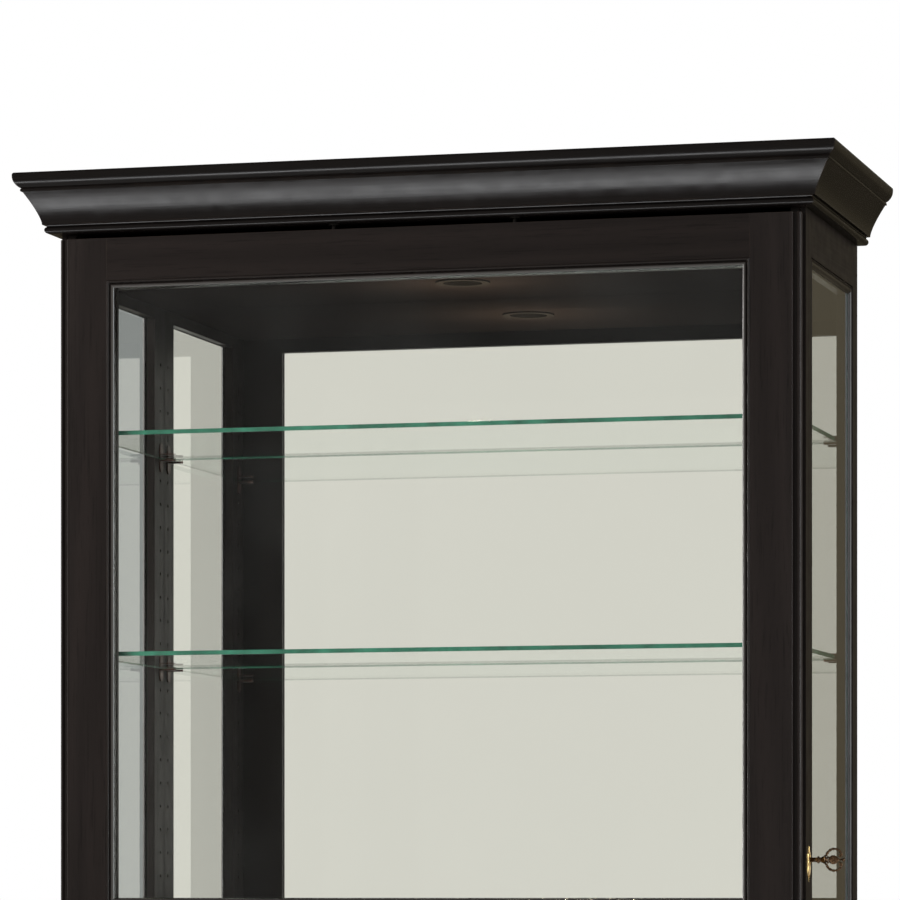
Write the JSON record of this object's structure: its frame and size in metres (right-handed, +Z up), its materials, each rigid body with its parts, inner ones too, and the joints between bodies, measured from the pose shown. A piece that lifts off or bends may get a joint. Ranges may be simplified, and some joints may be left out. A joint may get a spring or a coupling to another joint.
{
  "type": "display cabinet",
  "caption": "Tall dark wood display case with glass sides, mirror back, adjustable glass shelves, sliding framed glass front and side lock.",
  "frame": {"origin": "on the floor, under the middle of the footprint", "axes": "+Z up, front faces -Y, +X to the right seen from the front"},
  "size_m": [1.083, 0.426, 1.98],
  "materials": {
    "case_wood": "satin espresso lacquer",
    "inner_wood": "matt espresso lacquer",
    "foot_metal": "satin",
    "clear_glass": "polished",
    "shelf_glass": "polished edges",
    "bronze": "dark bronze",
    "mirror": "polished",
    "zinc": "satin",
    "track_metal": "satin",
    "nylon": "matt",
    "brass": "polished",
    "key_bronze": "antique bronze",
    "lamp_metal": "satin",
    "lamp_glass": "frosted",
    "black_plastic": "matt",
    "button_plastic": "gloss"
  },
  "bodies": {
    "case": {"plinth_front": "case_wood", "plinth_left": "case_wood", "plinth_right": "case_wood", "plinth_back": "inner_wood", "leveler_blocks": "inner_wood", "bottom_deck": "inner_wood", "left_front_stile": "case_wood", "left_rear_stile": "case_wood", "left_top_rail": "case_wood", "left_bottom_rail": "case_wood", "left_glass": "clear_glass", "left_bead": "case_wood", "right_front_stile": "case_wood", "right_rear_stile": "case_wood", "right_top_rail": "case_wood", "right_bottom_rail": "case_wood", "right_glass": "clear_glass", "right_bead": "case_wood", "top_panel": "inner_wood", "crown_frame": "inner_wood", "crown_front": "case_wood", "crown_left": "case_wood", "crown_right": "case_wood", "dust_cover": "inner_wood", "back_mirror": "mirror", "back_panel": "inner_wood", "back_screws": "zinc", "shelf_1": "shelf_glass", "shelf_2": "shelf_glass", "shelf_3": "shelf_glass", "shelf_4": "shelf_glass", "shelf_5": "shelf_glass", "shelf_clips": "bronze", "roller_brackets": "zinc", "guide_pins": "nylon", "lock_body": "brass", "escutcheon": "brass", "lamp_housing": "lamp_metal", "lamp_bulb": "lamp_glass", "cord_switch": "black_plastic"},
    "door": {"door_left_stile": "case_wood", "door_right_stile": "case_wood", "door_top_rail": "case_wood", "door_mid_rail": "case_wood", "door_bottom_rail": "case_wood", "door_glass_upper": "clear_glass", "door_glass_lower": "clear_glass", "door_bead_upper": "case_wood", "door_bead_lower": "case_wood", "door_track": "track_metal", "door_strike": "brass"},
    "roller_left": {"roller_left": "nylon"},
    "roller_right": {"roller_right": "nylon"},
    "lock_plug": {"lock_plug": "brass"},
    "key": {"key": "key_bronze"},
    "switch_button": {"switch_button": "button_plastic"},
    "leveler_front_left": {"leveler_front_left": "foot_metal"},
    "leveler_front_right": {"leveler_front_right": "foot_metal"},
    "leveler_rear_left": {"leveler_rear_left": "foot_metal"},
    "leveler_rear_right": {"leveler_rear_right": "foot_metal"}
  },
  "joints": [
    {"name": "door_slide", "type": "slide", "parent": "case", "child": "door", "axis": [1, 0, 0], "range_m": [-0.335, 0.335]},
    {"name": "roller_left_turn", "type": "hinge", "parent": "case", "child": "roller_left", "pos_m": [-0.12, -0.1635, 0.10855], "axis": [0, 1, 0], "range_deg": [-2500, 2500]},
    {"name": "roller_right_turn", "type": "hinge", "parent": "case", "child": "roller_right", "pos_m": [0.12, -0.1635, 0.10855], "axis": [0, 1, 0], "range_deg": [-2500, 2500]},
    {"name": "lock_turn", "type": "hinge", "parent": "case", "child": "lock_plug", "pos_m": [0.474, -0.1345, 1.086], "axis": [1, 0, 0], "range_deg": [0, 90]},
    {"name": "key_withdraw", "type": "slide", "parent": "lock_plug", "child": "key", "axis": [1, 0, 0], "range_m": [0, 0.024]},
    {"name": "switch_press", "type": "slide", "parent": "case", "child": "switch_button", "axis": [0, -1, 0], "range_m": [0, 0.003], "stiffness_N_per_m": 300},
    {"name": "foot_front_left_adjust", "type": "slide", "parent": "case", "child": "leveler_front_left", "axis": [0, 0, 1], "range_m": [-0.012, 0]},
    {"name": "foot_front_right_adjust", "type": "slide", "parent": "case", "child": "leveler_front_right", "axis": [0, 0, 1], "range_m": [-0.012, 0]},
    {"name": "foot_rear_left_adjust", "type": "slide", "parent": "case", "child": "leveler_rear_left", "axis": [0, 0, 1], "range_m": [-0.012, 0]},
    {"name": "foot_rear_right_adjust", "type": "slide", "parent": "case", "child": "leveler_rear_right", "axis": [0, 0, 1], "range_m": [-0.012, 0]}
  ],
  "couplings": [
    {"joint": "roller_left_turn", "follows": "door_slide", "rad_per_m": 124.22},
    {"joint": "roller_right_turn", "follows": "door_slide", "rad_per_m": 124.22}
  ]
}
